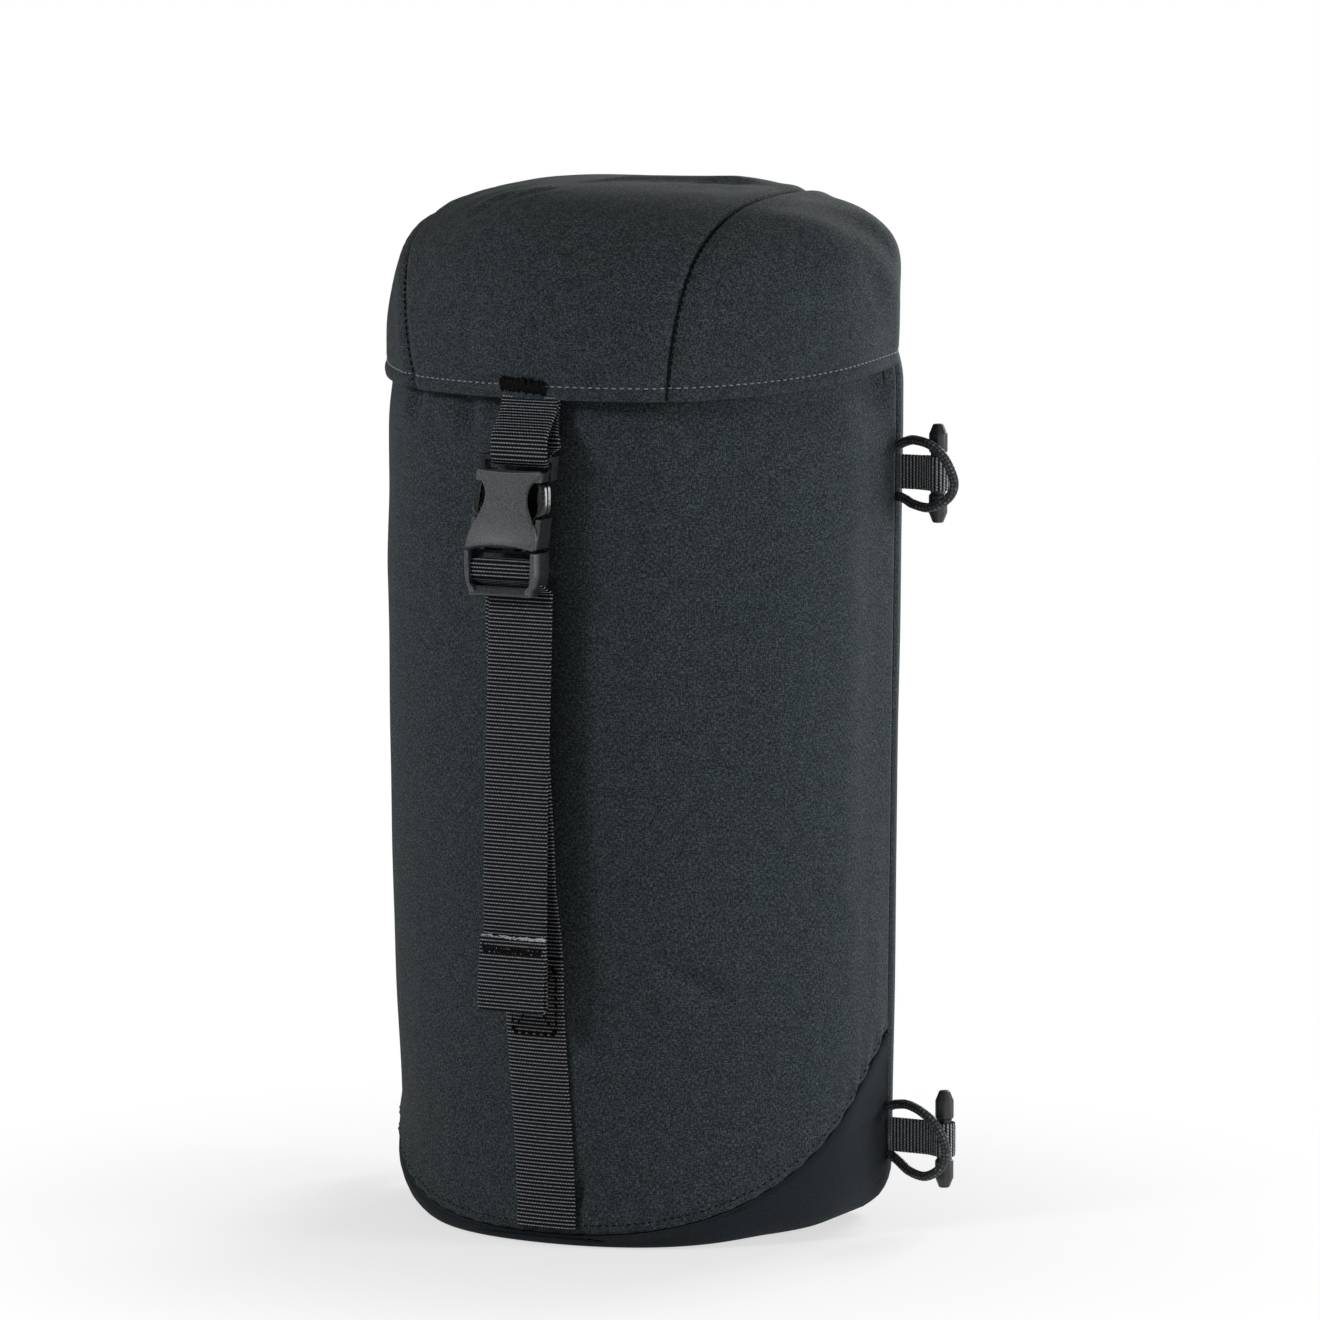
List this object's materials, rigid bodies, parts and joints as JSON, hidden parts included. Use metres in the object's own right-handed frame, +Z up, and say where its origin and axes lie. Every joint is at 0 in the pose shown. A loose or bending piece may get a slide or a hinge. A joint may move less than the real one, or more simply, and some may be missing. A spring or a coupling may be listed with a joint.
{
  "type": "strap-on fabric side pocket",
  "caption": "D-section fabric pocket with a domed flap lid, a buckled webbing strap down its front and toggle tabs at its back seams.",
  "frame": {"origin": "on the resting face of the base, midway across and midway from front to back", "axes": "+Z up, +Y out of the flat back, -Y out of the strapped front"},
  "size_m": [0.1972, 0.1214, 0.3167],
  "materials": {
    "body_fabric": "plain-woven coated cloth, dull with a faint waxy sheen",
    "base_fabric": "twill-woven cloth, darker than the body",
    "webbing": "ribbed woven polyester webbing",
    "tape": "plain woven binding tape",
    "moulded_plastic": "fine moulded texture with smooth edges",
    "elastic_cord": "braided sheath with light flecks",
    "thread": "dense sewn bar of thread"
  },
  "bodies": {
    "root": {"base_panel": "base_fabric", "front_panel": "body_fabric", "back_panel": "body_fabric", "mouth_binding": "tape", "seam_tape_left": "tape", "seam_tape_right": "tape", "lid_hinge_tape": "tape", "anchor_strap": "webbing", "strap_riser": "webbing"},
    "lid": {"lid_band": "body_fabric", "lid_side_left": "body_fabric", "lid_side_right": "body_fabric", "lid_hem_facing": "tape", "lid_bar_tack": "thread"},
    "socket": {"buckle_socket": "moulded_plastic", "lid_strap": "webbing"},
    "plug": {"buckle_plug": "moulded_plastic", "strap_tail": "webbing", "strap_tail_fold": "webbing", "tail_bar_tack": "thread"},
    "left_prong": {"prong_left": "moulded_plastic"},
    "right_prong": {"prong_right": "moulded_plastic"},
    "upper_right_tab": {"tab_upper_right": "webbing", "cord_upper_right": "elastic_cord"},
    "upper_right_toggle": {"toggle_upper_right": "moulded_plastic"},
    "upper_left_tab": {"tab_upper_left": "webbing", "cord_upper_left": "elastic_cord"},
    "upper_left_toggle": {"toggle_upper_left": "moulded_plastic"},
    "lower_right_tab": {"tab_lower_right": "webbing", "cord_lower_right": "elastic_cord"},
    "lower_right_toggle": {"toggle_lower_right": "moulded_plastic"},
    "lower_left_tab": {"tab_lower_left": "webbing", "cord_lower_left": "elastic_cord"},
    "lower_left_toggle": {"toggle_lower_left": "moulded_plastic"}
  },
  "joints": [
    {"name": "lid_open", "type": "hinge", "parent": "root", "child": "lid", "pos_m": [0, 0.05565, 0.262], "axis": [-1, 0, 0], "range_deg": [0, 110], "deforming": ["lid_strap"]},
    {"name": "socket_hang", "type": "hinge", "parent": "lid", "child": "socket", "pos_m": [0, -0.05465, 0.2565], "axis": [-1, 0, 0], "range_deg": [-55, 0]},
    {"name": "plug_slide", "type": "slide", "parent": "root", "child": "plug", "axis": [0, 0, -1], "range_m": [0, 0.032], "deforming": ["strap_riser", "prong_left", "prong_right"]},
    {"name": "squeeze_left", "type": "hinge", "parent": "plug", "child": "left_prong", "pos_m": [-0.0078, -0.06125, 0.2122], "axis": [0, 1, 0], "range_deg": [0, 6], "stiffness_Nm_per_rad": 0.6},
    {"name": "squeeze_right", "type": "hinge", "parent": "plug", "child": "right_prong", "pos_m": [0.0078, -0.06125, 0.2122], "axis": [0, -1, 0], "range_deg": [0, 6], "stiffness_Nm_per_rad": 0.6},
    {"name": "upper_right_tab_swing", "type": "hinge", "parent": "root", "child": "upper_right_tab", "pos_m": [0.07855, 0.03685, 0.2298], "axis": [0, 0, 1], "range_deg": [-40, 80], "deforming": ["cord_upper_right"]},
    {"name": "upper_right_toggle_spin", "type": "hinge", "parent": "upper_right_tab", "child": "upper_right_toggle", "pos_m": [0.09125, 0.03685, 0.2298], "axis": [0, 0, 1], "continuous": true},
    {"name": "upper_left_tab_swing", "type": "hinge", "parent": "root", "child": "upper_left_tab", "pos_m": [-0.07855, 0.03685, 0.2298], "axis": [0, 0, -1], "range_deg": [-88, 32], "deforming": ["cord_upper_left"]},
    {"name": "upper_left_toggle_spin", "type": "hinge", "parent": "upper_left_tab", "child": "upper_left_toggle", "pos_m": [-0.08704, 0.04629, 0.2298], "axis": [0, 0, 1], "continuous": true},
    {"name": "lower_right_tab_swing", "type": "hinge", "parent": "root", "child": "lower_right_tab", "pos_m": [0.0762, 0.03685, 0.0257], "axis": [0, 0, 1], "range_deg": [-40, 80], "deforming": ["cord_lower_right"]},
    {"name": "lower_right_toggle_spin", "type": "hinge", "parent": "lower_right_tab", "child": "lower_right_toggle", "pos_m": [0.0943, 0.03685, 0.0257], "axis": [0, 0, 1], "continuous": true},
    {"name": "lower_left_tab_swing", "type": "hinge", "parent": "root", "child": "lower_left_tab", "pos_m": [-0.0762, 0.03685, 0.0257], "axis": [0, 0, -1], "range_deg": [-88, 32], "deforming": ["cord_lower_left"]},
    {"name": "lower_left_toggle_spin", "type": "hinge", "parent": "lower_left_tab", "child": "lower_left_toggle", "pos_m": [-0.08831, 0.0503, 0.0257], "axis": [0, 0, 1], "continuous": true}
  ],
  "couplings": [
    {"joint": "socket_hang", "follows": "lid_open", "ratio": -0.5}
  ]
}
